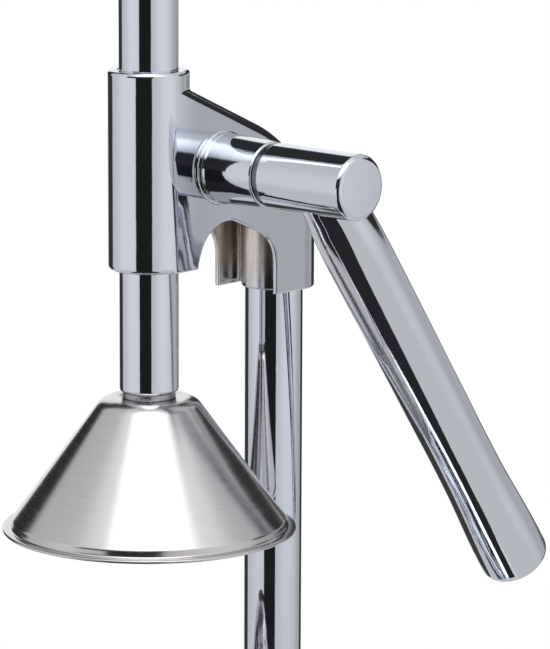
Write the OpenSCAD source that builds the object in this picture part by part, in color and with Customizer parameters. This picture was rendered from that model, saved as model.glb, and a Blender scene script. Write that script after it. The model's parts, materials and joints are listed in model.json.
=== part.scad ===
// Lever citrus juice press: foot, column, head with rack and pinion, press cone, strainer and funnel.
// Millimetres, +Z up. The ram's axis is X = Y = 0 and the table is Z = 0; the column stands at +Y
// and the lever is on +X. Heights marked "from the sleeve" count from the sleeve's lower end.

/* [Head] */
// height of the sleeve's lower end above the table
head_z = 370; // [330:1:420]
// outer radius of the ram sleeve
sleeve_r = 15.1; // [14:0.1:18]
// length of the ram sleeve
sleeve_h = 74; // [60:1:90]
// half width of the hollow web between its flat faces
face_x = 15.35; // [14:0.05:18]
// wall thickness of the hollow web
wall = 2.4; // [2:0.1:4]
// downward slope of the web's roof in degrees
roof_slope = 24.7; // [15:0.1:35]
// radius of the roof's curved rear part
roof_r = 65.6; // [50:0.1:80]
// height of the roof curve's centre, from the sleeve
roof_z = -8.8; // [-12:0.1:0]
// rounding of the roof's long edges
edge_r = 2.4; // [0.5:0.1:4]
// lower end of the column socket, from the sleeve
leg_z = -14.7; // [-25:0.1:-5]

/* [Column] */
// distance from the ram's axis to the column's axis
col_y = 66.8; // [66:0.1:80]
// outer radius of the column tube
col_r = 11.1; // [10:0.1:13]
// wall of the column tube
col_wall = 1.5; // [1:0.1:3]

/* [Ram] */
// radius of the ram rod
ram_r = 11; // [10:0.1:13]
// lower end of the rod, from the sleeve
ram_low = -46; // [-60:1:-30]
// upper end of the rod, from the sleeve
ram_top = 163; // [150:1:180]
// running clearance of rod and shaft, on the radius
run_gap = 0.05; // [0.02:0.01:0.1]

/* [Rack and pinion] */
// distance from the ram's axis to the shaft's axis
shaft_y = 23.75; // [23.75:0.01:23.75]
// height of the shaft's axis, from the sleeve
shaft_z = 36.73; // [34:0.01:40]
// gear module
gear_m = 1.5; // [1.5:0.1:1.5]
// number of pinion teeth
teeth = 22; // [22:1:22]
// width of the pinion's teeth
gear_w = 12; // [10:0.5:14]
// backlash taken off each tooth, along the pitch line
backlash = 0.12; // [0.05:0.01:0.2]

/* [Lever] */
// radius of the cross shaft
shaft_r = 6; // [5:0.1:7]
// end of the fixed boss, from the ram's axis
boss_x = 40.2; // [35:0.1:45]
// radius of the lever hub
hub_r = 12.1; // [11:0.1:14]
// outer end of the lever hub, from the ram's axis
hub_x = 84.2; // [78:0.1:90]
// position of the lever rod along the hub
arm_x = 64.05; // [60:0.05:68]
// backward tilt of the lever rod from straight down, in degrees
arm_tilt = 35.05; // [0:0.05:60]
// length of the lever rod from the hub's axis
arm_len = 197.5; // [170:0.5:230]

/* [Press cone and strainer] */
// top of the press cone, from the sleeve
cone_z = -48; // [-60:1:-40]
// radius of the press cone's rim
rim_r = 54.7; // [50:0.1:55]
// growth of the cones' radius per millimetre downwards
cone_k = 0.697; // [0.6:0.001:0.8]
// sheet thickness of the press cone
sheet = 1.2; // [0.8:0.1:2]
// top of the strainer cone, from the sleeve
strain_z = -149; // [-152:0.5:-144]
// radius of a juice hole
hole_r = 1.5; // [1:0.1:2.5]

/* [Foot] */
// radius of the foot
foot_r = 95; // [85:1:110]
// height of the foot's flat top above the table
foot_top = 20; // [16:1:30]
// distance from the ram's axis to the foot's centre
foot_y = 22; // [10:1:35]
// thickness of the rubber pad
pad_h = 3; // [2:0.5:5]

/* [Hidden] */
$fn = 96;
eps = 0.01;
chrome = [0.80, 0.81, 0.84];
brushed = [0.70, 0.69, 0.69];
steel = [0.55, 0.56, 0.58];
bronze = [0.72, 0.55, 0.32];
rubber = [0.07, 0.07, 0.07];

rear_y = col_y + face_x;
roof_y = rear_y - roof_r;
web_y = 1;
socket_r = 12.4;
socket_top = 10;
bush_r = 8;
gear_half = gear_w / 2;
gear_hub = gear_half + 1.2;
bush_in = gear_hub + 0.2;
far_x = -19.4;
cap_floor = -face_x - 0.05;
root_x = 17.6;
grub_r = 2.5;
grub_z = [-8, 2];

pitch_r = gear_m * teeth / 2;
base_r = pitch_r * cos(20);
tip_r = pitch_r + 0.97 * gear_m;
root_r = pitch_r - 1.25 * gear_m;
tooth_p = PI * gear_m;
rack_y = shaft_y - pitch_r;
rack_top = rack_y + gear_m;
rack_half = sqrt(ram_r * ram_r - rack_top * rack_top) + 0.15;
rack_first = -5;
rack_last = 20;

flank_deg = atan(1 / cone_k);
shoulder_r = 7;
shoulder_x = 17.33 - shoulder_r * tan(flank_deg / 2);
lip_r = 1.6;
lip_z = -95.3;
lip_x = 50.3 + lip_r / sin(flank_deg);
screw_r = 4;

dome_r = 24;
dome_x = 19.46 - dome_r * tan(flank_deg / 2);
tray_z = -189.9;
tray_x = 47.97 + lip_r / sin(flank_deg);
tray_r = 52.6;
thin = 1.0;
shelf_z = tray_z - lip_r - thin;
funnel_r = 54.1;
spout_r = 9;
spout_z = -235.5;
ring_low = -201.5;
collar_low = -220.5;
collar_top = -194.5;
collar_r = 17.5;
ear_x = 9;
clamp_y = 90;
clamp_z = -207.5;
clamp_r = 3;

recess_z = 12;
col_low = 16;
bolt_r = 5;
seat_r = 42;
foot_screw_r = 14;

// ---- helpers ----

// cylinder with rounded outer edges, standing on Z = 0
module disc(r, h, top, low) {
    rotate_extrude() {
        square([r - top, h]);
        square([r - low, h - top]);
        translate([0, low]) square([r, h - top - low]);
        translate([r - top, h - top]) circle(top);
        translate([r - low, low]) circle(low);
    }
}

// cylinder along the shaft, from x0 to x1
module on_shaft(x0, x1, r) {
    translate([x0, shaft_y, shaft_z]) rotate([0, 90, 0]) cylinder(r = r, h = x1 - x0);
}

// cone along the shaft, radius r0 at x0 and r1 at x1
module on_shaft_taper(x0, x1, r0, r1) {
    translate([x0, shaft_y, shaft_z]) rotate([0, 90, 0]) cylinder(r1 = r0, r2 = r1, h = x1 - x0);
}

// outline in the Y-Z plane, extruded along X over the half width w
module side_plate(w) {
    rotate([90, 0, 90]) translate([0, 0, -w]) linear_extrude(2 * w) children();
}

// hexagon socket, across flats af
module hex_socket(af, depth) {
    cylinder(r = af / 2 / cos(30), h = depth, $fn = 6);
}

function arc(cx, cy, r, a0, a1, n) =
    [for (i = [0 : n]) [cx + r * cos(a0 + (a1 - a0) * i / n), cy + r * sin(a0 + (a1 - a0) * i / n)]];

// wall of a flanged cone: shoulder arc, straight flank, lip arc, flat flange; t is the sheet
function cone_skin(cx, cz, r, lx, lz, rim, t) = concat(
    arc(cx, cz, r, 90, 90 - flank_deg, 10),
    arc(lx, lz, lip_r, 270 - flank_deg, 270, 6),
    [[rim, lz - lip_r], [rim, lz - lip_r - t]],
    arc(lx, lz, lip_r + t, 270, 270 - flank_deg, 6),
    arc(cx, cz, r - t, 90 - flank_deg, 90, 10));

// ---- head ----

// plan of the web: straight walls from the sleeve, half round behind the column; half width w
module web_plan(w) {
    translate([-w, web_y]) square([2 * w, col_y - web_y]);
    translate([0, col_y]) circle(w);
}

// half of the roof's cross-section from its crown: the rounded edge, then a skirt wider than the web
roof_half = concat(arc(face_x - edge_r, -edge_r, edge_r, 90, 10, 6),
    [[face_x + 1, edge_r * (sin(10) - 1) - (1 + edge_r * (1 - cos(10))) / tan(10)]]);
roof_ring = concat([for (i = [len(roof_half) - 1 : -1 : 0]) roof_half[i]],
                   [for (p = roof_half) [-p[0], p[1]]]);
// the roof's line from front to back: Y, Z and the lean of its normal
roof_line = concat(
    [[roof_y + roof_r * sin(roof_slope) - 60 * cos(roof_slope),
      roof_z + roof_r * cos(roof_slope) + 60 * sin(roof_slope), roof_slope]],
    [for (i = [0 : 18]) let (a = roof_slope + (90 - roof_slope) * i / 18)
        [roof_y + roof_r * sin(a), roof_z + roof_r * cos(a), a]],
    [[rear_y, leg_z - 2, 90]]);

// web without its hollow: the cross-section swept along the roof's line, trimmed to the plan
module web_outer() {
    m = len(roof_ring);
    n = len(roof_line) - 1;
    drop = (roof_line[0][1] - leg_z + 2) / cos(roof_slope);
    front_y = roof_line[0][0] - sin(roof_slope) * drop;
    end = (n + 1) * m;
    intersection() {
        translate([0, 0, leg_z - 1]) linear_extrude(roof_r + 40) web_plan(face_x);
        polyhedron(
            concat([for (s = roof_line, p = roof_ring)
                        [p[0], s[0] + sin(s[2]) * p[1], s[1] + cos(s[2]) * p[1]]],
                   [[face_x + 1, front_y, leg_z - 2], [-face_x - 1, front_y, leg_z - 2]]),
            concat([for (k = [0 : n - 1], j = [0 : m - 2])
                        [k * m + j, k * m + j + 1, k * m + m + j + 1, k * m + m + j]],
                   [concat([for (k = [0 : n]) k * m], [end])],
                   [concat([for (k = [n : -1 : 0]) k * m + m - 1], [end + 1])],
                   [concat([end, end + 1], [for (j = [m - 1 : -1 : 0]) j])],
                   [concat([end], [for (j = [0 : m - 1]) n * m + j], [end + 1])]));
    }
}

// hollow of the web, one wall inside it
module web_inner() {
    r = roof_r - wall;
    run = 60;
    intersection() {
        translate([0, 0, leg_z - 2]) linear_extrude(roof_r + 40) web_plan(face_x - wall);
        side_plate(face_x) polygon(concat(
            arc(roof_y, roof_z, r, 0, 90 - roof_slope, 16),
            [[roof_y + r * sin(roof_slope) - run * cos(roof_slope),
              roof_z + r * cos(roof_slope) + run * sin(roof_slope)]],
            [[-run, leg_z - 2], [roof_y + r, leg_z - 2]]));
    }
}

// arch between sleeve and column socket, and everything below the web
module arch() {
    difference() {
        side_plate(face_x + 5) polygon(concat(
            [[-30, leg_z - 10], [-30, 0], [11.3, 0], [12.3, 3.6], [13.5, 6.9]],
            [[15.2, 9.8], [17.4, 12.2], [20, 14.2], [22.8, 15.6], [25.4, 16.2], [27.8, 16.4]],
            [[30.2, 16], [32.6, 15], [36.1, 13.4], [40, 11.8], [43.6, 10.2], [46.3, 8.7]],
            [[48.4, 7], [50.1, 4.9], [51.3, 2.6], [52, 0.2], [52.3, -2.2], [52.3, leg_z]],
            [[150, leg_z], [150, leg_z - 10]]));
        cylinder(r = sleeve_r, h = sleeve_h);
    }
}

module head_casting() {
    color(chrome) translate([0, 0, head_z]) difference() {
        union() {
            difference() {
                web_outer();
                arch();
                difference() {
                    web_inner();
                    cylinder(r = sleeve_r - 1, h = sleeve_h);
                    translate([0, col_y, leg_z]) cylinder(r = socket_r, h = socket_top + wall - leg_z);
                    on_shaft(-face_x, -bush_in, bush_r + 3.5);
                    on_shaft(bush_in, face_x, bush_r + 3.5);
                }
            }
            disc(sleeve_r, sleeve_h, 1.4, 2);
            on_shaft_taper(face_x - 1, root_x - 1.5, 13, 13);
            on_shaft(root_x - 1.5, root_x, 13.4);
            on_shaft_taper(root_x - eps, boss_x, 13, hub_r + 0.1);
            on_shaft(far_x, 1 - face_x, 13.4);
        }
        translate([0, 0, -1]) cylinder(r = ram_r + run_gap, h = sleeve_h + 2);
        translate([0, col_y, leg_z - 1]) cylinder(r = col_r, h = socket_top - leg_z + 1);
        on_shaft(-gear_hub, gear_hub, tip_r + 0.22);
        on_shaft(far_x - 1, boss_x + 1, bush_r);
        on_shaft(far_x - 1, cap_floor, 11);
        for (z = grub_z) translate([0, col_y, z]) rotate([-90, 0, 0]) cylinder(r = grub_r, h = 20);
    }
}

module head_grub_screws() {
    color(steel) for (z = grub_z) translate([0, col_y + col_r, head_z + z]) rotate([-90, 0, 0])
        difference() {
            cylinder(r = grub_r, h = 3);
            translate([0, 0, 1.2]) hex_socket(2.5, 2);
        }
}

module near_bush() {
    color(bronze) translate([0, 0, head_z]) difference() {
        on_shaft(bush_in, boss_x, bush_r);
        on_shaft(bush_in - 1, boss_x + 1, shaft_r + run_gap);
    }
}

module far_bush() {
    color(bronze) translate([0, 0, head_z]) difference() {
        on_shaft(cap_floor, -bush_in, bush_r);
        on_shaft(cap_floor - 1, 1 - bush_in, shaft_r + run_gap);
    }
}

module far_cap() {
    color(chrome) translate([far_x + 2.2, shaft_y, head_z + shaft_z]) rotate([0, -90, 0])
        disc(11, 3.2, 1, 0.2);
}

// ---- foot and column ----

module base_casting() {
    color(chrome) difference() {
        union() {
            translate([0, foot_y, 0]) rotate_extrude() polygon(concat(
                [[0, pad_h], [foot_r - 2, pad_h]], arc(foot_r - 2, pad_h + 2, 2, -90, 0, 5),
                arc(foot_r - 5, foot_top - 9, 5, 0, 68, 8), arc(72, foot_top - 10, 10, 72, 90, 4),
                [[0, foot_top]]));
            translate([0, col_y, foot_top]) rotate_extrude() polygon(concat(
                [[0, -1], [21, -1], [21, 0]], arc(21, 4, 4, 270, 180, 8), [[16.4, 22]],
                arc(14.4, 22, 2, 0, 90, 5), [[0, 24]]));
        }
        translate([0, 0, foot_top - 1.5]) cylinder(r = seat_r, h = 5);
        translate([0, col_y, col_low]) cylinder(r = col_r, h = 60);
        translate([0, col_y, 0]) cylinder(r = foot_screw_r, h = recess_z);
        translate([0, col_y, 0]) cylinder(r = bolt_r + 0.4, h = 40);
    }
}

module base_pad() {
    color(rubber) difference() {
        translate([0, foot_y, 0]) cylinder(r = foot_r - 5, h = pad_h);
        translate([0, col_y, -1]) cylinder(r = foot_screw_r, h = pad_h + 2);
    }
}

module column_tube() {
    color(chrome) translate([0, col_y, col_low]) difference() {
        cylinder(r = col_r, h = head_z + socket_top - col_low);
        translate([0, 0, -1]) cylinder(r = col_r - col_wall, h = head_z + socket_top - col_low + 2);
    }
}

module column_plug() {
    color(steel) translate([0, col_y, col_low + 1]) difference() {
        cylinder(r = col_r - col_wall, h = 22);
        translate([0, 0, -1]) cylinder(r = bolt_r, h = 24);
    }
}

module column_washer() {
    color(steel) translate([0, col_y, recess_z - 2]) difference() {
        cylinder(r = 12, h = 2);
        translate([0, 0, -1]) cylinder(r = bolt_r + 0.4, h = 4);
    }
}

module column_bolt() {
    color(steel) translate([0, col_y, recess_z - 2]) {
        translate([0, 0, -6.4]) cylinder(r = 8.5 / cos(30), h = 6.4, $fn = 6);
        translate([0, 0, -eps]) cylinder(r = bolt_r, h = 26);
    }
}

// ---- funnel and strainer ----

module support_arm() {
    color(chrome) translate([0, 0, head_z]) difference() {
        union() {
            translate([0, 0, ring_low]) cylinder(r = funnel_r - 0.3, h = shelf_z - 1.1 - ring_low);
            translate([0, col_y, collar_low]) cylinder(r = collar_r, h = collar_top - collar_low);
            translate([-ear_x, col_y + 12, collar_low + 3]) cube([2 * ear_x, 19, 20]);
        }
        translate([0, 0, ring_low - 1]) cylinder(r = 48.2, h = 20);
        translate([0, 0, ring_low - 25]) cylinder(r = 48.8, h = 25);
        translate([0, col_y, collar_low - 1]) cylinder(r = col_r, h = 40);
        translate([-1, col_y, collar_low - 1]) cube([2, 40, 40]);
        translate([-ear_x - 1, clamp_y, clamp_z]) rotate([0, 90, 0]) cylinder(r = clamp_r, h = 30);
    }
}

module arm_clamp_screw() {
    color(steel) translate([-ear_x, clamp_y, head_z + clamp_z]) rotate([0, 90, 0]) difference() {
        union() {
            cylinder(r = clamp_r, h = 2 * ear_x + 1);
            translate([0, 0, 2 * ear_x]) cylinder(r = 5, h = 5);
        }
        translate([0, 0, 2 * ear_x + 2.2]) hex_socket(5, 4);
    }
}

module juice_funnel() {
    color(brushed) translate([0, 0, head_z]) rotate_extrude() polygon([
        [funnel_r, tray_z - 0.5], [funnel_r, shelf_z - 1.1], [47.2, shelf_z - 1.1],
        [spout_r, spout_z + 11.5], [spout_r, spout_z], [spout_r - 1.1, spout_z],
        [spout_r - 1.1, spout_z + 12], [46.6, shelf_z], [funnel_r - 1.1, shelf_z],
        [funnel_r - 1.1, tray_z - 0.5]]);
}

module strainer_cone() {
    color(brushed) translate([0, 0, head_z]) difference() {
        rotate_extrude() polygon(concat([[0, strain_z]],
            cone_skin(dome_x, strain_z - dome_r, dome_r, tray_x, tray_z, tray_r, thin),
            [[0, strain_z - thin]]));
        for (ring = [0 : 3], i = [0 : 17]) rotate([0, 0, 20 * i + 10 * (ring % 2)])
            translate([28 + 5 * ring, 0, strain_z - 13.5 - 5 * ring / cone_k])
                rotate([0, flank_deg, 0]) cylinder(r = hole_r, h = 8, center = true, $fn = 24);
    }
}

// ---- ram ----

module ram_rod() {
    color(chrome) translate([0, 0, head_z]) difference() {
        translate([0, 0, ram_low]) disc(ram_r, ram_top - ram_low, 0.8, 1.6);
        for (k = [rack_first : rack_last]) translate([0, 0, shaft_z + (k + 0.5) * tooth_p])
            side_plate(rack_half) polygon([for (p = [[-1.25, -1], [-1.25, 1], [1.1, 1], [1.1, -1]])
                [rack_y + gear_m * p[0],
                 p[1] * (tooth_p / 4 + backlash / 2 + gear_m * p[0] * tan(20))]]);
        translate([-ram_r, rack_top, shaft_z + (rack_first - 0.5) * tooth_p])
            cube([2 * ram_r, ram_r, (rack_last - rack_first + 2) * tooth_p]);
        translate([0, 0, ram_low - 1]) cylinder(r = screw_r, h = 19);
        translate([0, 0, ram_top - 10]) cylinder(r = 5, h = 20);
    }
}

module ram_cap() {
    color(chrome) translate([0, 0, head_z + ram_top]) {
        disc(12.6, 9, 2.5, 0.8);
        translate([0, 0, -9]) cylinder(r = 5, h = 9.5);
    }
}

module cone_spacer() {
    color(steel) translate([0, 0, head_z + cone_z]) difference() {
        cylinder(r = 9.85, h = ram_low - cone_z);
        translate([0, 0, -1]) cylinder(r = screw_r + 0.1, h = 6);
    }
}

module press_cone() {
    color(brushed) translate([0, 0, head_z]) rotate_extrude() polygon(concat(
        [[screw_r + 0.1, cone_z]],
        cone_skin(shoulder_x, cone_z - shoulder_r, shoulder_r, lip_x, lip_z, rim_r, sheet),
        [[screw_r + 0.1, cone_z - sheet]]));
}

module cone_washer() {
    color(steel) translate([0, 0, head_z + cone_z - sheet - 2]) difference() {
        cylinder(r = 11, h = 2);
        translate([0, 0, -1]) cylinder(r = screw_r + 0.1, h = 4);
    }
}

module cone_screw() {
    color(steel) translate([0, 0, head_z + cone_z - sheet - 2]) difference() {
        union() {
            cylinder(r = screw_r, h = 21);
            translate([0, 0, -4.5]) disc(7, 4.5, 0.2, 1.5);
        }
        translate([0, 0, -5]) hex_socket(5, 3);
    }
}

// ---- lever ----

function inv(a) = tan(a) * 180 / PI - a;
function half_deg(r) = 90 / teeth - backlash / 4 / pitch_r * 180 / PI + inv(20) - inv(acos(base_r / r));
flank_r = [for (i = [0 : 7]) base_r + (tip_r - base_r) * i / 7];
tooth_side = concat([[root_r, half_deg(base_r)]], [for (r = flank_r) [r, half_deg(r)]]);
tooth = concat([for (p = tooth_side) [p[0], -p[1]]],
               [for (i = [len(tooth_side) - 1 : -1 : 0]) tooth_side[i]]);

module pinion_gear() {
    color(steel) translate([0, 0, head_z]) difference() {
        union() {
            translate([0, shaft_y, shaft_z]) side_plate(gear_half)
                polygon([for (i = [0 : teeth - 1], p = tooth)
                    let (a = 180 + (i + 0.5) * 360 / teeth + p[1]) p[0] * [cos(a), sin(a)]]);
            on_shaft(-gear_hub, gear_hub, 9);
        }
        on_shaft(-20, 20, shaft_r);
        translate([-20, shaft_y - 2, shaft_z]) cube([40, 4, 8]);
    }
}

module pinion_key() {
    color(steel) translate([-gear_half, shaft_y - 2, head_z + shaft_z + 3.5])
        cube([gear_w, 4, 4.5]);
}

module pinion_shaft() {
    color(steel) translate([0, 0, head_z]) difference() {
        on_shaft(-17.1, 76, shaft_r);
        translate([-gear_half, shaft_y - 2, shaft_z + 3.5]) cube([gear_w, 4, 10]);
        difference() {
            on_shaft(-16.7, -15.6, shaft_r + 1);
            on_shaft(-17, -15, 5.2);
        }
    }
}

module shaft_circlip() {
    color(steel) translate([0, 0, head_z]) difference() {
        on_shaft(-16.7, -15.6, 8.4);
        on_shaft(-17, -15, 5.2);
        translate([-18, shaft_y - 3, shaft_z]) cube([4, 6, 12]);
    }
}

module hub_ring() {
    color(steel) translate([0, 0, head_z]) difference() {
        on_shaft(boss_x + 0.2, boss_x + 2.6, 11.7);
        on_shaft(boss_x, boss_x + 3, shaft_r);
    }
}

module arm_frame() {
    translate([arm_x, shaft_y, head_z + shaft_z]) rotate([180 + arm_tilt, 0, 0]) children();
}

module hub_screw_frame() {
    translate([52, shaft_y, head_z + shaft_z]) rotate([233, 0, 0]) rotate([0, 0, 0]) children();
}

module lever_hub() {
    color(chrome) difference() {
        translate([boss_x + 2.6, shaft_y, head_z + shaft_z]) rotate([0, 90, 0])
            disc(hub_r, hub_x - boss_x - 2.6, 1, 0.5);
        translate([0, 0, head_z]) on_shaft(boss_x, 76, shaft_r);
        arm_frame() cylinder(r = 4.5, h = 30);
        hub_screw_frame() cylinder(r = 3, h = 30);
    }
}

module lever_arm() {
    color(chrome) difference() {
        arm_frame() {
            rotate_extrude() polygon(concat(
                [[0, 0], [11.1, 0], [11.3, 10], [11.6, 16], [12, 24], [12.25, 34], [12.3, 46]],
                [[12.25, 80], [12.1, 115], [12, 140], [12.15, 152], [12.45, 161], [12.85, 170]],
                [[13.2, 179], [13.35, 187]],
                arc(9.35, arm_len - 5, 4, 0, 76, 8), [[5, arm_len], [0, arm_len]]));
        }
        translate([0, 0, head_z]) on_shaft(0, 100, hub_r);
    }
    color(chrome) difference() {
        arm_frame() cylinder(r = 4.5, h = 14);
        translate([0, 0, head_z]) on_shaft(0, 100, shaft_r);
    }
}

module hub_grub_screw() {
    color(steel) hub_screw_frame() difference() {
        translate([0, 0, shaft_r]) cylinder(r = 3, h = 5);
        translate([0, 0, shaft_r + 2.5]) hex_socket(3, 4);
    }
}

base_casting();
base_pad();
column_tube();
column_plug();
column_washer();
column_bolt();
head_casting();
head_grub_screws();
near_bush();
far_bush();
far_cap();
support_arm();
arm_clamp_screw();
juice_funnel();
strainer_cone();
ram_rod();
ram_cap();
cone_spacer();
press_cone();
cone_washer();
cone_screw();
pinion_shaft();
pinion_gear();
pinion_key();
hub_ring();
lever_hub();
lever_arm();
hub_grub_screw();
shaft_circlip();
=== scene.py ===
import json
import math

import bpy
import numpy as np
from mathutils import Matrix, Vector


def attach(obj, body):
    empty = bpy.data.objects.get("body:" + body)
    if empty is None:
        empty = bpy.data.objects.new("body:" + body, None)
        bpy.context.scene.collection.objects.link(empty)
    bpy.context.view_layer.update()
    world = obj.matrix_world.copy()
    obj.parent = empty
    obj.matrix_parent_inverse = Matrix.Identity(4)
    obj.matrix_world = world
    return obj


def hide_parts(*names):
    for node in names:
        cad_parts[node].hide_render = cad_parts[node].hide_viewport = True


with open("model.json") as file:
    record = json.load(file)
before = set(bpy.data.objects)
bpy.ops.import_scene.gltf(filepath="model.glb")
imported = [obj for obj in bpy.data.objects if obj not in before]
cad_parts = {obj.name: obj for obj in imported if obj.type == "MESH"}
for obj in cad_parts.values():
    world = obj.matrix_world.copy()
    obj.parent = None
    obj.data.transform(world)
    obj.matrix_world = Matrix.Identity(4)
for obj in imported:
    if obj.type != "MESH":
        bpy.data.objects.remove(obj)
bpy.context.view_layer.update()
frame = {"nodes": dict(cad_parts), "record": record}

nodes = frame["nodes"]

# ---- sizes, in millimetres, the same as in the part's source ----

# The origin is on the table, under the ram's axis. HEAD_Z is the height of the sleeve's lower end,
# and the heights of the head, ram, cones, funnel and support count from there.
MM = 0.001
HEAD_Z = 370.0
SLEEVE_R, SLEEVE_H = 15.1, 74.0
RAM_R, RAM_LOW, RAM_TOP = 11.0, -46.0, 163.0
COL_Y, COL_R, COL_BORE, COL_LOW, COL_TOP = 66.8, 11.1, 9.6, 16, 380
SHAFT_Y, SHAFT_Z, SHAFT_R = 23.75, 36.73, 6
BOSS_X, HUB_X, HUB_R = 40.2, 84.2, 12.1
ARM_X, ARM_TILT, ARM_LEN = 64.05, 35.05, 197.5
MODULE, PITCH_R = 1.5, 16.5


# ---- mesh code ----

FILLET_STEP = math.radians(11)
HOLD = 0.08  # a point this far beyond each end of a fillet keeps its shading off the straights


def linked(name, data):
    obj = bpy.data.objects.new(name, data)
    bpy.context.scene.collection.objects.link(obj)
    return obj


def mesh_object(name, points, faces, normals=None):
    """Smooth object from points in millimetres."""
    mesh = bpy.data.meshes.new(name)
    mesh.from_pydata([tuple(p) for p in np.asarray(points) * MM], [], faces)
    mesh.validate()
    mesh.polygons.foreach_set("use_smooth", [True] * len(mesh.polygons))
    if normals is not None:
        mesh.normals_split_custom_set_from_vertices([tuple(n) for n in normals])
    return linked(name, mesh)


def rounded(corners):
    """Profile of (radius, along, fillet) corners, each corner filleted and its straights held."""
    out = []
    for i, (r, s, fillet) in enumerate(corners):
        here = np.array((r, s))
        if fillet <= 0 or i in (0, len(corners) - 1):
            out.append(here)
            continue
        before = np.array(corners[i - 1][:2]) - here
        after = np.array(corners[i + 1][:2]) - here
        before, after = before / np.linalg.norm(before), after / np.linalg.norm(after)
        half = math.acos(max(-1.0, min(1.0, float(before @ after)))) / 2
        run = fillet / math.tan(half)
        middle = (before + after) / np.linalg.norm(before + after)
        centre = here + middle * fillet / math.sin(half)
        start, end = here + before * run, here + after * run
        a0 = math.atan2(*(start - centre)[::-1])
        sweep = (math.atan2(*(end - centre)[::-1]) - a0 + math.pi) % (2 * math.pi) - math.pi
        steps = max(3, int(abs(sweep) / FILLET_STEP))
        out.append(start + before * HOLD)
        for k in range(steps + 1):
            a = a0 + sweep * k / steps
            out.append(centre + fillet * np.array((math.cos(a), math.sin(a))))
        out.append(end + after * HOLD)
    return out


def turned(name, profile, place, count=160, bend=None, more=()):
    """Turned piece: (radius, along) points from one end of the axis to the other, or round a bore.

    bend moves the points before they are placed; more gives angles of further spokes."""
    ring = np.array(sorted([2 * math.pi * k / count for k in range(count)] + list(more)))
    count = len(ring)
    points, rows = [], []
    for r, s in profile:
        if r < 1e-6:
            rows.append([len(points)])
            points.append((0.0, 0.0, s))
        else:
            rows.append(list(range(len(points), len(points) + count)))
            points += [(r * math.cos(a), r * math.sin(a), s) for a in ring]
    faces = []
    closed = len(rows[0]) > 1 and len(rows[-1]) > 1
    pairs = list(zip(rows, rows[1:])) + ([(rows[-1], rows[0])] if closed else [])
    for low, high in pairs:
        for k in range(count):
            n = (k + 1) % count
            if len(low) == 1:
                faces.append((low[0], high[n], high[k]))
            elif len(high) == 1:
                faces.append((low[k], low[n], high[0]))
            else:
                faces.append((low[k], low[n], high[n], high[k]))
    points = np.array(points)
    if bend is not None:
        points = bend(points)
    points = points @ np.array(place.to_3x3()).T + np.array(place.translation)
    return mesh_object(name, points, faces)


def at(x, y, z, *turns):
    """Place at a point in millimetres, turned by (degrees, axis) pairs."""
    out = Matrix.Translation((x, y, z))
    for angle, axis in turns:
        out = out @ Matrix.Rotation(math.radians(angle), 4, axis)
    return out


def bored(obj, places, r, low, high):
    """Bores holes of radius r along the Z of each place, from low to high."""
    n = 32
    ring = np.linspace(0, 2 * math.pi, n, endpoint=False)
    points, faces = [], []
    for place in places:
        start = len(points)
        points += [place @ Vector((r * math.cos(a), r * math.sin(a), s))
                   for s in (low, high) for a in ring]
        faces += [(start + k, start + (k + 1) % n, start + n + (k + 1) % n, start + n + k)
                  for k in range(n)]
        faces += [tuple(range(start + n - 1, start - 1, -1)),
                  tuple(range(start + n, start + 2 * n))]
    drill = mesh_object("drill", points, faces)
    tool = obj.modifiers.new("bore", "BOOLEAN")
    tool.object, tool.operation, tool.solver = drill, "DIFFERENCE", "EXACT"
    depsgraph = bpy.context.evaluated_depsgraph_get()
    mesh = bpy.data.meshes.new_from_object(obj.evaluated_get(depsgraph))
    obj.modifiers.clear()
    obj.data = mesh
    bpy.data.objects.remove(drill)
    mesh.set_sharp_from_angle(angle=math.radians(30))


def lift(obj, height):
    obj.data.transform(Matrix.Translation((0, 0, height * MM)))


def union(a, b, r):
    """a and b together, the valley between them rounded by r."""
    outer = np.hypot(np.maximum(r - a, 0), np.maximum(r - b, 0))
    return np.maximum(r, np.minimum(a, b)) - outer


def both(a, b, r):
    """What a and b share, the edge between them rounded by r."""
    inner = np.hypot(np.maximum(r + a, 0), np.maximum(r + b, 0))
    return np.minimum(-r, np.maximum(a, b)) + inner


def cut(a, b, r):
    """a without b, the new edge rounded by r."""
    return both(a, -b, r)


def outline_distance(outline, u, v):
    """Signed distance in the plane to a closed outline, negative inside."""
    best = np.full(np.broadcast(u, v).shape, 1e9)
    inside = np.zeros(best.shape, bool)
    for (u0, v0), (u1, v1) in zip(outline, np.roll(outline, -1, axis=0)):
        du, dv = u1 - u0, v1 - v0
        t = np.clip(((u - u0) * du + (v - v0) * dv) / (du * du + dv * dv), 0, 1)
        best = np.minimum(best, (u - u0 - t * du) ** 2 + (v - v0 - t * dv) ** 2)
        if dv:
            inside ^= ((v0 > v) != (v1 > v)) & (u < u0 + (v - v0) * du / dv)
    return np.where(inside, -1, 1) * np.sqrt(best)


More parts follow.
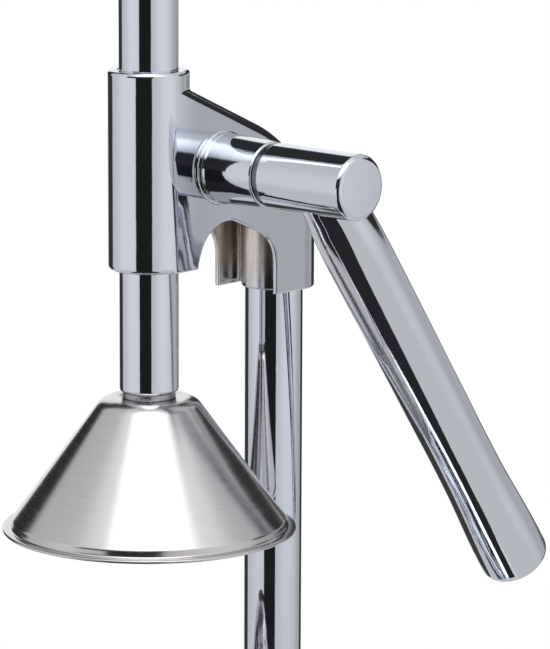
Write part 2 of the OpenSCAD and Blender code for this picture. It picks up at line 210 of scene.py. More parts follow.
def cast(name, field, low, high, step):
    """Cast piece: the surface where field(x, y, z) is 0, negative inside, in millimetres.

    Each cell of the grid that the surface crosses gets one point, which is moved onto it."""
    axes = [np.arange(a, b + step, step) for a, b in zip(low, high)]
    y, z = np.meshgrid(axes[1], axes[2], indexing="ij")
    solid = np.array([field(x, y, z) < 0 for x in axes[0]])
    nx, ny, nz = (len(axis) - 1 for axis in axes)
    filled = np.sum([solid[i:nx + i, j:ny + j, k:nz + k]
                     for i in (0, 1) for j in (0, 1) for k in (0, 1)], axis=0)
    cells = np.argwhere((filled > 0) & (filled < 8))
    index = np.full(filled.shape, -1)
    index[tuple(cells.T)] = np.arange(len(cells))
    points = np.stack([axes[a][cells[:, a]] + step / 2 for a in range(3)], 1)

    def slope(p):
        h = 0.02
        return np.stack([(field(*(p + h * d).T) - field(*(p - h * d).T)) / (2 * h)
                         for d in np.eye(3)], 1)

    for _ in range(6):
        g = slope(points)
        move = g * (field(*points.T) / np.maximum((g * g).sum(1), 0.05))[:, None]
        points -= np.clip(move, -0.6 * step, 0.6 * step)
    normals = slope(points)
    normals /= np.linalg.norm(normals, axis=1)[:, None]
    faces = []
    for a in range(3):
        b, c = (a + 1) % 3, (a + 2) % 3
        order = np.moveaxis(solid, (a, b, c), (0, 1, 2))
        cell = np.moveaxis(index, (a, b, c), (0, 1, 2))
        low_side, high_side = order[:-1, 1:-1, 1:-1], order[1:, 1:-1, 1:-1]
        quad = np.stack([cell[:, :-1, :-1], cell[:, 1:, :-1],
                         cell[:, 1:, 1:], cell[:, :-1, 1:]], -1)
        faces.append(quad[low_side & ~high_side])
        faces.append(quad[high_side & ~low_side][:, ::-1])
    return mesh_object(name, points, np.concatenate(faces).tolist(), normals)


def smooth(v, low, high):
    t = np.clip((v - low) / (high - low), 0, 1)
    return t * t * (3 - 2 * t)


def cubic(a, b, c, d, t):
    """Point a part t of the way from b to c, on the smooth curve through a, b, c and d."""
    return 0.5 * (2 * b + (c - a) * t + (2 * a - 5 * b + 4 * c - d) * t * t
                  + (3 * b - a - 3 * c + d) * t ** 3)


# ---- materials ----

def material(name):
    mat = bpy.data.materials.new(name)
    mat.use_nodes = True
    return mat, mat.node_tree, mat.node_tree.nodes["Principled BSDF"]


def add(tree, kind, **values):
    node = tree.nodes.new(kind)
    for key, value in values.items():
        if key in node.inputs:
            node.inputs[key].default_value = value
        else:
            setattr(node, key, value)
    return node


def math_node(tree, kind, *values):
    node = add(tree, "ShaderNodeMath", operation=kind)
    for slot, value in zip(node.inputs, values):
        if isinstance(value, (int, float)):
            slot.default_value = value
        else:
            tree.links.new(value, slot)
    return node.outputs[0]


def product(tree, *values):
    out = values[0]
    for value in values[1:]:
        out = math_node(tree, "MULTIPLY", out, value)
    return out


def noise(tree, coords, scale, detail=2.0):
    node = add(tree, "ShaderNodeTexNoise", Scale=scale, Detail=detail)
    tree.links.new(coords, node.inputs["Vector"])
    return node.outputs["Fac"]


def stretched(tree, coords, *scale):
    node = add(tree, "ShaderNodeMapping", vector_type="POINT")
    node.inputs["Scale"].default_value = scale
    tree.links.new(coords, node.inputs["Vector"])
    return node.outputs[0]


def ramp(tree, value, low, high, to_low, to_high):
    node = add(tree, "ShaderNodeMapRange", interpolation_type="SMOOTHSTEP")
    limits = {"From Min": low, "From Max": high, "To Min": to_low, "To Max": to_high}
    for key, number in limits.items():
        node.inputs[key].default_value = number
    tree.links.new(value, node.inputs["Value"])
    return node.outputs["Result"]


def blend(tree, mask, a, b):
    """Colour a where the mask is 0, b where it is 1."""
    node = tree.nodes.new("ShaderNodeMixRGB")
    for key, value in zip(("Fac", "Color1", "Color2"), (mask, a, b)):
        if isinstance(value, tuple):
            node.inputs[key].default_value = (*value, 1)
        else:
            tree.links.new(value, node.inputs[key])
    return node.outputs[0]


def parts_of(tree, vector):
    node = tree.nodes.new("ShaderNodeSeparateXYZ")
    tree.links.new(vector, node.inputs[0])
    return node.outputs


def place_of(tree):
    return tree.nodes.new("ShaderNodeTexCoord").outputs["Object"]


def bumped(tree, shader, height, strength, distance):
    bump = add(tree, "ShaderNodeBump", Strength=strength, Distance=distance)
    tree.links.new(height, bump.inputs["Height"])
    tree.links.new(bump.outputs["Normal"], shader.inputs["Normal"])


def darker(tint, factor):
    return tuple(factor * c for c in tint)


def chrome(name, tint, rough, wave):
    """Plated metal with a faint haze and waves."""
    mat, tree, shader = material(name)
    coords = place_of(tree)
    shader.inputs["Base Color"].default_value = (*tint, 1)
    shader.inputs["Metallic"].default_value = 1.0
    haze = noise(tree, coords, 90.0, 4.0)
    tree.links.new(ramp(tree, haze, 0.35, 0.75, rough, rough + 0.05), shader.inputs["Roughness"])
    bumped(tree, shader, noise(tree, coords, 160.0), wave, 0.001)
    return mat


def plain(name, tint, metallic, rough, grain, strength):
    """Even, finely grained surface."""
    mat, tree, shader = material(name)
    coords = place_of(tree)
    shader.inputs["Base Color"].default_value = (*tint, 1)
    shader.inputs["Metallic"].default_value = metallic
    spots = ramp(tree, noise(tree, coords, grain, 5.0), 0.3, 0.7, rough - 0.06, rough + 0.08)
    tree.links.new(spots, shader.inputs["Roughness"])
    bumped(tree, shader, noise(tree, coords, grain * 2.0, 3.0), strength, 0.0003)
    return mat


def head_plate():
    """Chrome with painted shade on the web's flat near face, whose colour is darker there, and
    warm, unpolished metal inside the arch.
    """
    mat = chrome("head_plate", PLATE, PLATE_ROUGH, PLATE_WAVE)
    tree = mat.node_tree
    shader = tree.nodes["Principled BSDF"]
    coords = tree.nodes.new("ShaderNodeTexCoord")
    x, y, z = parts_of(tree, coords.outputs["Object"])
    facing = parts_of(tree, coords.outputs["Normal"])[0]
    inside = product(tree,
                     ramp(tree, x, -0.0153, -0.0150, 0, 1), ramp(tree, x, 0.0120, 0.0126, 1, 0),
                     ramp(tree, y, 0.008, 0.010, 0, 1), ramp(tree, y, 0.060, 0.064, 1, 0),
                     ramp(tree, z, (HEAD_Z - 14) * MM, (HEAD_Z - 3) * MM, 0.35, 1),
                     ramp(tree, z, (HEAD_Z + 18) * MM, (HEAD_Z + 20) * MM, 1, 0))
    # painted shade: the web's flat near face, the side that faces +X, gets the chrome colour
    # darkened to 0.72
    near_face_shade = product(tree, ramp(tree, facing, 0.95, 0.995, 0, 1),
                        ramp(tree, y, -0.003, 0.011, 0, 1), ramp(tree, x, 0.0165, 0.018, 1, 0))
    streaks = noise(tree, stretched(tree, coords.outputs["Object"], 1, 1, 0.08), 420.0)
    warm = blend(tree, ramp(tree, streaks, 0.35, 0.65, 0, 1), RAW_DARK, RAW_LIGHT)
    colour = blend(tree, inside, blend(tree, near_face_shade, PLATE, darker(PLATE, 0.72)), warm)
    tree.links.new(colour, shader.inputs["Base Color"])
    polish = shader.inputs["Roughness"].links[0].from_socket
    rough = math_node(tree, "ADD", polish, math_node(tree, "MULTIPLY", inside, 0.24))
    tree.links.new(rough, shader.inputs["Roughness"])
    return mat


def brushed_cone(name, tint):
    """Sheet brushed along its circumference."""
    mat, tree, shader = material(name)
    fine = noise(tree, stretched(tree, place_of(tree), 0.02, 0.02, 1), 1900.0, 3.0)
    colour = blend(tree, ramp(tree, fine, 0.3, 0.7, 0, 1), darker(tint, 0.95), tint)
    tree.links.new(colour, shader.inputs["Base Color"])
    tree.links.new(ramp(tree, fine, 0.3, 0.7, 0.18, 0.23), shader.inputs["Roughness"])
    shader.inputs["Metallic"].default_value = 1.0
    shader.inputs["Anisotropic"].default_value = 0.7
    shader.inputs["Anisotropic Rotation"].default_value = 0.25
    around = add(tree, "ShaderNodeTangent", direction_type="RADIAL", axis="Z")
    tree.links.new(around.outputs[0], shader.inputs["Tangent"])
    bumped(tree, shader, fine, 0.006, 0.0002)
    return mat


PLATE, PLATE_ROUGH, PLATE_WAVE = (0.76, 0.785, 0.85), 0.03, 0.03
RAW_DARK, RAW_LIGHT = (0.54, 0.45, 0.39), (0.84, 0.78, 0.73)
CHROME = chrome("chrome_plate", PLATE, PLATE_ROUGH, PLATE_WAVE)
HEAD_METAL = head_plate()
SHEET = brushed_cone("brushed_sheet", (0.71, 0.68, 0.69))
RING = plain("ring_steel", (0.20, 0.20, 0.21), 1.0, 0.24, 500.0, 0.1)
STEEL = plain("turned_steel", (0.50, 0.51, 0.53), 1.0, 0.3, 500.0, 0.1)
BRONZE = plain("bronze", (0.62, 0.45, 0.24), 1.0, 0.35, 700.0, 0.2)
RUBBER = plain("rubber", (0.05, 0.05, 0.05), 0.0, 0.7, 900.0, 0.4)

slots = {s["node"]: s["material_slot"] for s in frame["record"]["subparts"]}
by_slot = {"chrome": CHROME, "brushed_sheet": SHEET, "plain_steel": STEEL, "bronze": BRONZE,
           "rubber": RUBBER}
for name, obj in nodes.items():
    obj.data.materials.clear()
    obj.data.materials.append(by_slot[slots[name]])


def dress(obj, body, finish, replaced):
    obj.data.materials.append(finish)
    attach(obj, body)
    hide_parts(replaced)


# ---- head and column ----

WALL, EDGE_R = 2.4, 4.2
FACE_X, FAR_X, ROOT_X = 15.35, -19.4, 17.6
ROOF_SLOPE, ROOF_R, ROOF_Z = math.radians(24.7), 65.6, -8.8
ROOF_Y = COL_Y + FACE_X - ROOF_R
LEG_Z, SOCKET_R, SOCKET_TOP = -14.7, 12.4, 10.0
BOSS_R, BOSS_TAPER, FAR_BOSS_R, CAP_SEAT_R = 13.0, 0.8, 13.4, 11.0
BEAD_R, BEAD_X, BEAD_T = 12.6, 17.1, 0.75
BUSH_R, BUSH_IN, BUSH_WALL = 8.0, 7.4, 3.5
GEAR_POCKET, GEAR_HALF = 18.175, 7.2
GRUB_R, GRUB_Z = 2.5, (-8.0, 2.0)
DRAW_IN = 0.055
ARCH = np.array([
    (-30, -30), (-30, 0), (8, 0), (11.3, 0), (12.3, 3.6), (13.5, 6.9), (15.2, 9.8), (17.4, 12.2),
    (20, 14.2), (22.8, 15.6), (25.4, 16.2), (27.8, 16.4), (30.2, 16), (32.6, 15), (36.1, 13.4),
    (40, 11.8), (43.6, 10.2), (46.3, 8.7), (48.4, 7), (50.1, 4.9), (51.3, 2.6), (52, 0.2),
    (52.3, -2.2), (52.3, LEG_Z), (150, LEG_Z), (150, -30)])


def softened(p, first, last):
    """Outline p with smooth curves through its points from first to last."""
    curve = [p[i] for i in range(first)]
    for i in range(first, last):
        a, b, c, d = p[i - 1], p[i], p[i + 1], p[i + 2]
        if i == first:
            a = b
        if i + 1 == last:
            d = c
        curve += [cubic(a, b, c, d, t) for t in np.arange(0, 1, 0.2)]
    return np.array(curve + [p[i] for i in range(last, len(p))])


ARCH_LINE = softened(ARCH, 3, 22)
arch_kept = {}


def arch_distance(x, y, z):
    """Signed distance to the arch, whose leg is 2 mm wider on the far side.

    The grid's slabs of equal x all ask for the same two results, which are kept."""
    shifted = y + np.where(x < 0, 2.0, 0.0) * smooth(y, 36, 47)
    if y.ndim == 1:
        return outline_distance(ARCH_LINE, shifted, z)
    key = (y.shape, bool(x < 0))
    if key not in arch_kept:
        arch_kept[key] = outline_distance(ARCH_LINE, shifted, z)
    return arch_kept[key]


def roof(y, z, inward):
    """Distance above the web's roof, or above a surface that far inside it."""
    r = ROOF_R - inward
    slope_y, slope_z = ROOF_Y + r * math.sin(ROOF_SLOPE), ROOF_Z + r * math.cos(ROOF_SLOPE)
    plane = (y - slope_y) * math.sin(ROOF_SLOPE) + (z - slope_z) * math.cos(ROOF_SLOPE)
    round_off = np.hypot(y - ROOF_Y, z - ROOF_Z) - r
    steep = np.arctan2(y - ROOF_Y, z - ROOF_Z)
    return np.where(steep < ROOF_SLOPE, plane, np.where(z > ROOF_Z, round_off, y - ROOF_Y - r))


def web_side(x, y, z, inward):
    """Distance to the web's upright walls, or to a surface that far inside them.

    They leave the sleeve along its tangents and draw in behind it at the foot."""
    half = SLEEVE_R + (FACE_X - SLEEVE_R) * smooth(y, 15, 50)
    bend = np.clip(y - 2, 0, 6) ** 2 / 12 + np.maximum(y - 8, 0)
    half = half - DRAW_IN * bend * (1 - smooth(y, 8, 36)) * (1 - smooth(z, 14, 34))
    return np.hypot(x, np.maximum(y - COL_Y, 0) + np.minimum(y, 0)) - half + inward


def head_field(x, y, z):
    x = np.asarray(x, float)
    on_axis, on_col = np.hypot(x, y), np.hypot(x, y - COL_Y)
    from_shaft = np.hypot(y - SHAFT_Y, z - SHAFT_Z)
    side, top = web_side(x, y, z, 0.0), roof(y, z, 0.0)

    # the roof's edge is rounder near the sleeve than over the column
    web = both(side, top, EDGE_R * np.clip(1.6 - np.maximum(y - 45, 0) / 26, 0.35, 1.0))
    web = np.maximum(web, -2.0 - y)
    hollow = both(web_side(x, y, z, WALL), roof(y, z, WALL), 1.5)
    hollow = cut(hollow, on_axis - 14.1, 1.5)
    hollow = cut(hollow, np.maximum(on_col - SOCKET_R, z - SOCKET_TOP - WALL), 3.0)
    hollow = cut(hollow, np.maximum(from_shaft - BUSH_R - BUSH_WALL, BUSH_IN - np.abs(x)), 0.8)
    web = cut(web, hollow, 0.6)
    web = cut(web, arch_distance(x, y, z), 0.8)

    sleeve = both(on_axis - SLEEVE_R, -z, 2.0)
    sleeve = both(sleeve, z - SLEEVE_H, 1.4)
    head = union(web, sleeve, np.clip(0.45 * (1 + top / 3), 0.02, 0.45))

    boss_r = BOSS_R - (x - ROOT_X) / (BOSS_X - ROOT_X) * BOSS_TAPER
    boss = both(from_shaft - boss_r, np.maximum(x - BOSS_X, -x + FACE_X - 2), 0.7)
    head = union(head, boss, 0.7)
    bead = np.hypot(from_shaft - BEAD_R, x - BEAD_X) - BEAD_T
    head = union(head, bead, 0.3)
    far = both(from_shaft - FAR_BOSS_R, np.maximum(FAR_X - x, x + FACE_X - 1), 0.8)
    head = union(head, far, 0.8)

    head = cut(head, on_axis - RAM_R - 0.05, 0.5)
    head = cut(head, np.maximum(on_col - COL_R, z - SOCKET_TOP), 0.4)
    head = cut(head, np.maximum(from_shaft - GEAR_POCKET, np.abs(x) - GEAR_HALF), 0.3)
    head = cut(head, from_shaft - BUSH_R, 0.3)
    head = cut(head, np.maximum(from_shaft - CAP_SEAT_R, x + FACE_X + 0.05), 0.3)
    for grub in GRUB_Z:
        head = cut(head, np.maximum(np.hypot(x, z - grub) - GRUB_R, COL_Y - y), 0.3)
    return head


coarse = 1.0
head = cast("head", head_field, (FAR_X - 1, -16.5, -16), (BOSS_X + 1, 83.5, 75.5), 0.55 * coarse)
lift(head, HEAD_Z)
dress(head, "frame", HEAD_METAL, "head_casting")

column = turned("column", rounded([(COL_BORE, COL_LOW, 0), (COL_R, COL_LOW, 0.3),
                                   (COL_R, COL_TOP, 0.3), (COL_BORE, COL_TOP, 0.1)]),
                at(0, COL_Y, 0))
dress(column, "frame", CHROME, "column_tube")

# ---- lever ----

# profile of the rod from the hub outwards: radius, distance from the shaft
ARM_START = 14
ARM_LINE = [
    (11.4, ARM_START), (12, 24), (12.25, 34), (12.3, 46), (12.3, 62), (12.25, 80), (12.15, 98),
    (12.1, 115), (12, 128), (12, 140), (12.15, 152), (12.45, 161), (12.85, 170), (13.2, 179),
    (13.35, 187), (13.35, 190)]
ARM_END_R, ARM_ROOT_R = 4, 11.15
HUB_GAP, HUB_BORE_END = 2.6, 33.2
RING_GAP, RING_R, RING_T = 0.2, 11.5, 2.4
GRUB_PLACE = at(52, SHAFT_Y, HEAD_Z + SHAFT_Z, (233, "X"))


def smooth_curve(points, parts):
    p = [np.array(q, float) for q in points]
    p = [2 * p[0] - p[1]] + p + [2 * p[-1] - p[-2]]
    out = [cubic(a, b, c, d, t) for a, b, c, d in zip(p, p[1:], p[2:], p[3:])
           for t in np.arange(parts) / parts]
    return out + [p[-2]]


def end_rows(top, sag, r):
    """Rows of a slightly domed end, which is lower by sag at radius r."""
    return [(q, top - sag * (q / r) ** 2) for q in (8.5, 7, 5.5, 4, 2.5, 1, 0)]


def saddle(points):
    """Rows at -1 - t lie a part t of the way from the hub's surface to the rod's first row."""
    start = points[:, 2] < 0
    t = -1 - points[start, 2]
    hub_surface = np.sqrt((HUB_R - 0.1) ** 2 - points[start, 1] ** 2)
    points[start, 2] = (1 - t) * hub_surface + t * ARM_START
    return points


arm_root = [(0, -1), (4, -1), (8, -1), (11.08, -1), (ARM_ROOT_R, -1), (ARM_ROOT_R, -1.03)]
arm_root += [(ARM_ROOT_R + 0.25 * t, -1 - t) for t in (0.2, 0.4, 0.6, 0.8)]
arm_end = [(9.35 + ARM_END_R * math.cos(a), ARM_LEN - 4.6 + ARM_END_R * math.sin(a))
           for a in np.radians(np.arange(0, 86, 8))]
arm_line = arm_root + smooth_curve(ARM_LINE, 4) + arm_end + end_rows(ARM_LEN, 0.6, 9.7)
arm = turned("lever_rod", arm_line, at(ARM_X, SHAFT_Y, HEAD_Z + SHAFT_Z, (180 + ARM_TILT, "X")),
             bend=saddle)
dress(arm, "lever", CHROME, "lever_arm")

# the rows at 4.7 and 13.7 keep the grub screw's hole away from the long faces
hub_len = HUB_X - BOSS_X - HUB_GAP
hub_line = rounded([(0, HUB_BORE_END, 0), (SHAFT_R, HUB_BORE_END, 0), (SHAFT_R, 0, 0),
                    (HUB_R, 0, 0.6), (HUB_R, 4.7, 0), (HUB_R, 13.7, 0),
                    (HUB_R, hub_len - 0.34, 2.1), (9.5, hub_len - 0.30, 0)])
hub = turned("lever_hub_shell", hub_line + end_rows(hub_len, 0.30, 9.5),
             at(BOSS_X + HUB_GAP, SHAFT_Y, HEAD_Z + SHAFT_Z, (90, "Y")), 192)
bored(hub, [GRUB_PLACE], 3.0, 2, 20)
dress(hub, "lever", CHROME, "lever_hub")

ring = turned("hub_spacer", rounded([(SHAFT_R, 0, 0), (RING_R, 0, 0.35), (RING_R, RING_T, 0.35),
                                    (SHAFT_R, RING_T, 0)]),
              at(BOSS_X + RING_GAP, SHAFT_Y, HEAD_Z + SHAFT_Z, (90, "Y")), 192)
dress(ring, "lever", RING, "hub_ring")

# ---- ram, its collar, the far cover and the top cap ----

PITCH, RACK_Y, SLANT = MODULE * math.pi, SHAFT_Y - PITCH_R, math.tan(math.radians(20))
TOOTH, ROOT, PLAY = MODULE, 1.25 * MODULE, 0.06
FIRST_GAP, LAST_GAP = -5, 20
CHEEK_X, CHEEK_SPOKES = 6.81, (6.80, 6.82)


def rack_corners():
    """Corners (height, Y) of the ram's flat and its tooth gaps."""
    flat, low = RACK_Y + TOOTH, RACK_Y - ROOT
    wide, narrow = PITCH / 4 + PLAY + TOOTH * SLANT, PITCH / 4 + PLAY - ROOT * SLANT
    start, end = SHAFT_Z + (FIRST_GAP - 0.5) * PITCH, SHAFT_Z + (LAST_GAP + 1.5) * PITCH
    out = [(start - 0.02, RAM_R + 1), (start, flat)]
    for k in range(FIRST_GAP, LAST_GAP + 1):
        mid = SHAFT_Z + (k + 0.5) * PITCH
        out += [(mid - wide, flat), (mid - narrow, low), (mid + narrow, low), (mid + wide, flat)]
    return out + [(end, flat), (end + 0.02, RAM_R + 1)]


RACK = np.array(rack_corners())


def rack(points):
    """Cuts the flat and the gaps, and leaves a cheek at each side."""
    depth = np.interp(points[:, 2], RACK[:, 0], RACK[:, 1])
    cheek = np.abs(points[:, 0]) > CHEEK_X
    points[:, 1] = np.where(cheek, points[:, 1], np.minimum(points[:, 1], depth))
    return points


ram_line = rounded([(0, RAM_LOW, 0), (RAM_R, RAM_LOW, 1.6)] + [(RAM_R, z, 0) for z in RACK[:, 0]]
                   + [(RAM_R, RAM_TOP, 0.8), (0, RAM_TOP, 0)])
ram = turned("ram_shaft", ram_line, at(0, 0, HEAD_Z), 192, bend=rack,
             more=[math.acos(side * x / RAM_R) for side in (1, -1) for x in CHEEK_SPOKES])
ram.data.set_sharp_from_angle(angle=math.radians(28))
dress(ram, "ram", CHROME, "ram_rod")

CONE_Z, BORE_R, COLLAR_OUT = -48.0, 4.1, 9.85
COVER_R, CAP_R = 10.95, 12.6
spacer = turned("cone_collar", rounded([(BORE_R, CONE_Z, 0), (COLLAR_OUT, CONE_Z, 0.2),
                                        (COLLAR_OUT, RAM_LOW, 0.2), (BORE_R, RAM_LOW, 0)]),
                at(0, 0, HEAD_Z))
dress(spacer, "ram", STEEL, "cone_spacer")

blind = turned("bearing_cover",
               rounded([(0, 0, 0), (COVER_R, 0, 0.2), (COVER_R, 3.2, 1), (0, 3.2, 0)]),
               at(FAR_X + 2.2, SHAFT_Y, HEAD_Z + SHAFT_Z, (-90, "Y")))
dress(blind, "frame", CHROME, "far_cap")

cap = turned("ram_button",
             rounded([(0, 0, 0), (CAP_R, 0, 0.8), (CAP_R, 8.6, 2.5), (7, 9, 0), (0, 9, 0)]),
             at(0, 0, HEAD_Z + RAM_TOP))
dress(cap, "ram", CHROME, "ram_cap")

# ---- cones ----

CONE_K = 0.697  # the strainer's flank goes this far out for each unit down
FLANK, PRESS_FLANK = math.atan(1 / CONE_K), math.radians(53.9)
RIM_R, SHEET_T = 54.7, 1.2
SIEVE_RIM_R, SIEVE_T, LIP_R = 52.6, 1.0, 1.6


def arc(cx, cz, r, a0, a1, n):
    return [(cx + r * math.cos(a), cz + r * math.sin(a)) for a in np.linspace(a0, a1, n + 1)]


def held(line):
    """Adds points near the ends of long straights, so that smooth shading stays on the curves."""
    out = [np.array(line[0])]
    for p in line[1:]:
        p = np.array(p)
        step = p - out[-1]
        length = np.linalg.norm(step)
        if length > 4:
            out += [out[-1] + step * 0.1 / length, p - step * 0.1 / length]
        out.append(p)
    return out


def cone_line(shoulder, lip, flank, rim, t, inner_r, skirt=None):
    """Profile of a flanged cone of sheet t: under side outwards, rim, upper side inwards.

    Shoulder and lip are the arcs (centre r, centre z, radius) at the flank's top and foot. A skirt
    (the same, and the angle where its arc ends) bends the flank down further above the lip."""
    quarter = math.pi / 2
    foot = quarter - flank
    (cx, cz, r), (lx, lz, lip_r) = shoulder, lip
    under, over = arc(cx, cz, r - t, quarter, foot, 14), arc(cx, cz, r, foot, quarter, 14)
    if skirt:
        sx, sz, bend, low = skirt
        under += arc(sx, sz, bend - t, foot, low, 6)
        over = arc(sx, sz, bend, low, foot, 6) + over
        foot = low
    under += arc(lx, lz, lip_r + t, math.pi + foot, 3 * quarter, 8)
    over = arc(lx, lz, lip_r, 3 * quarter, math.pi + foot, 8) + over
    edge = arc(rim - t / 2, lz - lip_r - t / 2, t / 2, -quarter, quarter, 8)
    return [(inner_r, cz + r - t)] + held(under) + edge + held(over) + [(inner_r, cz + r)]


def shoulder_arc(corner_r, top, r, flank):
    """Arc of radius r that rounds the corner of a flat top and a flank."""
    return corner_r - r * math.tan(flank / 2), top - r, r


press = turned("press_cone_sheet",
               cone_line(shoulder_arc(17.33, CONE_Z, 7.0, PRESS_FLANK), (52.08, -96.0, 0.9),
                         PRESS_FLANK, RIM_R, SHEET_T, BORE_R, (49.1, -94.98, 2.0, math.radians(4))),
               at(0, 0, HEAD_Z), 256)
dress(press, "ram", SHEET, "press_cone")

STRAIN_Z, TRAY_Z, SPOUT_Z = -149.0, -189.9, -235.5
ROWS, ROW_STEP, HOLES_ROUND, HOLE_TURN = 4, 5, 18, 20


def hole_place(row, i):
    """Place of a strainer hole, its Z square to the flank; every other row is staggered."""
    down = ROW_STEP * row
    around = at(0, 0, HEAD_Z, (HOLE_TURN * i + HOLE_TURN // 2 * (row % 2), "Z"))
    return around @ at(28 + down, 0, STRAIN_Z - 13.5 - down / CONE_K, (math.degrees(FLANK), "Y"))


sieve = turned("strainer_dome",
               cone_line(shoulder_arc(19.46, STRAIN_Z, 24.0, FLANK),
                         (47.97 + LIP_R / math.sin(FLANK), TRAY_Z, LIP_R), FLANK,
                         SIEVE_RIM_R, SIEVE_T, 0.0),
               at(0, 0, HEAD_Z), 180)
bored(sieve, [hole_place(row, i) for row in range(ROWS) for i in range(HOLES_ROUND)], 1.5, -4, 4)
dress(sieve, "frame", SHEET, "strainer_cone")

# ---- funnel, its support and the foot ----

SHELF_Z, SPOUT_IN, SPOUT_OUT = TRAY_Z - 2.6, 7.9, 9
funnel = turned("funnel_sheet", rounded([
    (SPOUT_IN, SPOUT_Z, 0), (SPOUT_OUT, SPOUT_Z, 0.3), (SPOUT_OUT, SPOUT_Z + 11.5, 2),
    (47.2, SHELF_Z - 1.1, 2), (54.1, SHELF_Z - 1.1, 1), (54.1, TRAY_Z - 0.5, 0.3),
    (53, TRAY_Z - 0.5, 0.3), (53, SHELF_Z, 0.6), (46.6, SHELF_Z, 1.5), (SPOUT_IN, SPOUT_Z + 12, 2),
    (SPOUT_IN, SPOUT_Z + 0.3, 0)]), at(0, 0, HEAD_Z), 192)
dress(funnel, "frame", SHEET, "juice_funnel")

RING_Z, COLLAR_Z, COLLAR_R = -197.55, -207.5, 17.5
EARS_Y, CLAMP_Y, CLAMP_R = 83, 90, 3


def support_field(x, y, z):
    """Ring under the funnel, collar on the column and the split ears of its clamp."""
    x = np.asarray(x, float)
    on_axis, on_col = np.hypot(x, y), np.hypot(x, y - COL_Y)
    ring = both(both(on_axis - 53.8, 48.4 - on_axis, 1.2), np.abs(z - RING_Z) - 3.95, 1.2)
    collar = both(on_col - COLLAR_R, np.abs(z - COLLAR_Z) - 13, 1.5)
    ears = both(both(np.abs(x) - 9, np.abs(y - EARS_Y) - 14.8, 3), np.abs(z - COLLAR_Z) - 10, 1.5)
    body = union(union(ring, collar, 4), ears, 2.5)
    body = cut(body, on_axis - 48.3, 0.8)
    body = cut(body, on_col - COL_R, 0.5)
    body = cut(body, np.maximum(np.abs(x) - 1, COL_Y - y), 0.4)
    return cut(body, np.hypot(y - CLAMP_Y, z - COLLAR_Z) - CLAMP_R, 0.4)


support = cast("support_bracket", support_field, (-56, -56, -223), (56, 100, -191), 0.8 * coarse)
lift(support, HEAD_Z)
dress(support, "frame", CHROME, "support_arm")

FOOT_Y, FOOT_R, PAD_T, PLATE_Z = 22, 95, 3, 20
SEAT_R, SEAT_Z = 42, 18.5
SOCKET_BOSS_R, SOCKET_BOSS_Z, BOLT_R = 17, 44, 5.4
SLOPE_OUT, SLOPE_UP = 0.2247, 0.9744  # the way the foot's upper face looks near its rim


def foot_field(x, y, z):
    """Round plate that slopes down to its rim, column socket, glass seat and the bolt's hole."""
    x = np.asarray(x, float)
    out, on_col = np.hypot(x, y - FOOT_Y), np.hypot(x, y - COL_Y)
    sloping = (out - 75.1) * SLOPE_OUT + (z - 19.5) * SLOPE_UP
    body = both(both(out - FOOT_R, PAD_T - z, 1.5), sloping, 4.5)
    body = both(body, z - PLATE_Z, 3)
    boss = both(on_col - SOCKET_BOSS_R + (z - PLATE_Z) * 0.03, z - SOCKET_BOSS_Z, 2)
    body = union(body, np.maximum(boss, 10 - z), 4)
    body = cut(body, np.maximum(np.hypot(x, y) - SEAT_R, SEAT_Z - z), 0.5)
    body = cut(body, np.maximum(on_col - COL_R, COL_LOW - z), 0.5)
    body = cut(body, np.maximum(on_col - 14, z - 12), 0.5)
    return cut(body, on_col - BOLT_R, 0.3)


foot = cast("foot_plate", foot_field, (-97, -75, 1), (97, 119, 46), 1.15 * coarse)
dress(foot, "frame", CHROME, "base_casting")

# ---- camera, fitted to the photograph's frame ----

SENSOR_MM, FOCAL_PX, PHOTO_HEIGHT_PX = 36.0, 4000.0, 649.0
camera_data = bpy.data.cameras.new("camera")
camera = linked("camera", camera_data)
right = Vector((0.7249934, 0.68874308, 0.00418721))
up = Vector((-0.1347849, 0.13591189, 0.98150955))
back = Vector((0.67543882, -0.71215232, 0.19136739))
turn = Matrix((right, up, back)).transposed().to_4x4()
turn.translation = Vector((1.030993, -1.019363, 0.261854 + HEAD_Z * MM))
camera.matrix_world = turn
camera_data.sensor_width = SENSOR_MM
camera_data.lens = SENSOR_MM * FOCAL_PX / PHOTO_HEIGHT_PX
camera_data.clip_start = 0.05
camera_data.clip_end = 50.0
bpy.context.scene.camera = camera

# ---- studio, in metres ----

TENT_R, TENT_Z, TENT_LEVEL = 3.0, 0.35, 0.62
FLOOR_R, FADE_FROM, FADE_TO = 0.7, 0.28, 0.62
FRONT = math.radians(-46.5)

# Panels of the light tent, each over the ones before it: azimuth from and to, seen from the
# camera's side and to the right positive; elevation from and to; softness in degrees; level.
PANELS = [
    (-400, 400, 62, 100, 12, 0.85),
    (-88, -30, -24, 36, 40, 0.80),
    (34, 86, -24, 36, 40, 0.80),
    (-100, 100, -95, -20, 20, 0.60),
    (-72, 86, 34, 68, 30, 1.05),
    (-43, 52, 42, 80, 22, 2.3),
    (-34, 12, -95, 6, 3, 0.014),
    (-60, 16, 1, 30, 6, 0.03),
    (108, 167, -95, 6, 24, 0.46),
    (136, 177, -95, -6, 6, 0.04),
    (98, 176, 2.5, 23, 3, 0.03),
    (158, 176, -5, 6, 4, 0.03),
    (118, 126, 26, 36, 4, 0.25),
    (-152, -118, -95, -2, 6, 0.04),
    (-172, -125, -5, 68, 6, 0.03),
    (176, 204, -95, 32, 4, 1.0),
    (180, 222, 34, 60, 8, 0.03),
]


def emission(name, level=1.0):
    """Material that gives off light, its tree and its shader."""
    mat = bpy.data.materials.new(name)
    mat.use_nodes = True
    tree = mat.node_tree
    tree.nodes.clear()
    shader = add(tree, "ShaderNodeEmission", Strength=level)
    out = tree.nodes.new("ShaderNodeOutputMaterial")
    tree.links.new(shader.outputs[0], out.inputs["Surface"])
    return mat, tree, shader


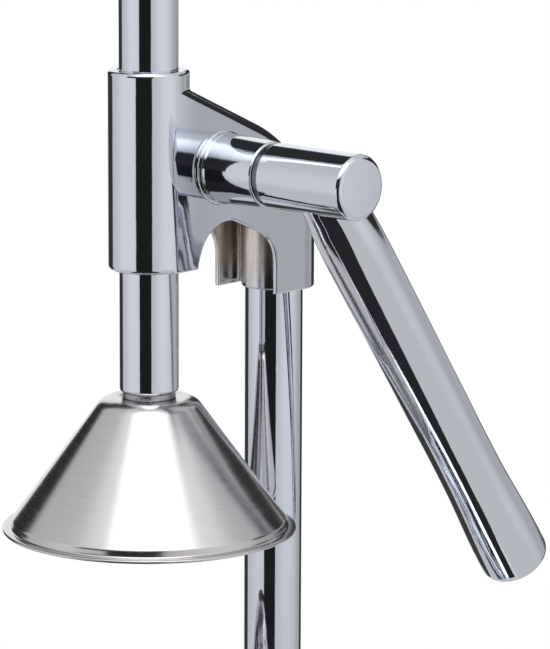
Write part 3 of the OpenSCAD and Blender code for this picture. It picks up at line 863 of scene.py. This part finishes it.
def tent_level(tree):
    """Level of the light tent in each direction."""
    x, y, z = parts_of(tree, place_of(tree))
    c, s = math.cos(FRONT), math.sin(FRONT)
    ahead = math_node(tree, "ADD", product(tree, x, c), product(tree, y, s))
    beside = math_node(tree, "SUBTRACT", product(tree, y, c), product(tree, x, s))
    azimuth = math_node(tree, "DEGREES", math_node(tree, "ARCTAN2", beside, ahead))
    height = math_node(tree, "ARCSINE", math_node(tree, "DIVIDE", z, TENT_R))
    elevation = math_node(tree, "DEGREES", height)
    level = TENT_LEVEL
    for a0, a1, e0, e1, soft, value in PANELS:
        off_middle = math_node(tree, "SUBTRACT", azimuth, (a0 + a1) / 2)
        away = math_node(tree, "ABSOLUTE", math_node(tree, "WRAP", off_middle, 180.0, -180.0))
        half, edge = (a1 - a0) / 2, soft / 2
        mask = product(tree, ramp(tree, away, half - edge, half + edge, 1.0, 0.0),
                       ramp(tree, elevation, e0 - edge, e0 + edge, 0.0, 1.0),
                       ramp(tree, elevation, e1 - edge, e1 + edge, 1.0, 0.0))
        rest = math_node(tree, "SUBTRACT", 1.0, mask)
        level = math_node(tree, "ADD", product(tree, level, rest), product(tree, mask, value))
    return level


bpy.ops.mesh.primitive_uv_sphere_add(segments=64, ring_count=32, radius=TENT_R,
                                     location=(0, 0, TENT_Z))
dome = bpy.context.object
dome.name = "light_tent"
cloth, tree, glow = emission("tent_cloth")
tree.links.new(tent_level(tree), glow.inputs["Strength"])
glow.inputs["Color"].default_value = (0.97, 0.985, 1.0, 1)
dome.data.materials.append(cloth)
dome.visible_camera = False
dome.visible_shadow = False

# the floor takes the object's shadow and fades to white away from it
bpy.ops.mesh.primitive_circle_add(vertices=96, radius=FLOOR_R, fill_type="NGON", location=(0, 0, 0))
floor = bpy.context.object
floor.name = "floor"
paint, tree, shader = material("pale_floor")
shader.inputs["Base Color"].default_value = (0.94, 0.94, 0.94, 1)
shader.inputs["Roughness"].default_value = 0.9
far_off = add(tree, "ShaderNodeVectorMath", operation="LENGTH")
tree.links.new(place_of(tree), far_off.inputs[0])
ray = tree.nodes.new("ShaderNodeLightPath").outputs
seen = math_node(tree, "ADD", math_node(tree, "ADD", ray["Is Camera Ray"], ray["Is Glossy Ray"]),
                 ray["Is Transmission Ray"])
white = add(tree, "ShaderNodeEmission", Strength=1.0)
fade = tree.nodes.new("ShaderNodeMixShader")
distant = ramp(tree, far_off.outputs["Value"], FADE_FROM, FADE_TO, 0, 1)
tree.links.new(product(tree, math_node(tree, "MINIMUM", seen, 1.0), distant), fade.inputs[0])
tree.links.new(shader.outputs[0], fade.inputs[1])
tree.links.new(white.outputs[0], fade.inputs[2])
tree.links.new(fade.outputs[0], tree.nodes["Material Output"].inputs["Surface"])
floor.data.materials.append(paint)


def card(name, corners, faces, level):
    """Card on the floor, with corners in millimetres, that is seen only in reflections."""
    obj = mesh_object(name, corners, faces)
    obj.data.materials.append(emission(name, level)[0])
    obj.visible_camera = obj.visible_diffuse = obj.visible_shadow = obj.visible_transmission = False


# the front card's corners are given along a line towards the camera and to the right of it
AHEAD, BESIDE = math.radians(-57.5), math.radians(32.5)
front = [(a * math.cos(AHEAD) + b * math.cos(BESIDE),
          a * math.sin(AHEAD) + b * math.sin(BESIDE), 1.0)
         for a, b in ((-20, -200), (720, -270), (720, 330), (300, 290), (60, 165), (-20, 170))]
card("front_card", front, [tuple(range(6))], 0.022)
rear = [(-190, 60, 1.0), (-190, 190, 1.0), (-460, 470, 1.0), (-600, 240, 1.0)]
card("rear_card", rear, [tuple(range(4))], 0.05)
SIDES = 48
circle = [2 * math.pi * k / SIDES for k in range(SIDES)]
card("grey_card", [(r * math.cos(a), r * math.sin(a), 0.5) for r in (200, 720) for a in circle],
     [(k, (k + 1) % SIDES, SIDES + (k + 1) % SIDES, SIDES + k) for k in range(SIDES)], 0.6)

world = bpy.data.worlds.new("white")
bpy.context.scene.world = world
world.use_nodes = True
world.node_tree.nodes["Background"].inputs["Color"].default_value = (1, 1, 1, 1)
world.node_tree.nodes["Background"].inputs["Strength"].default_value = 1.0

bpy.context.scene.view_settings.view_transform = "Standard"
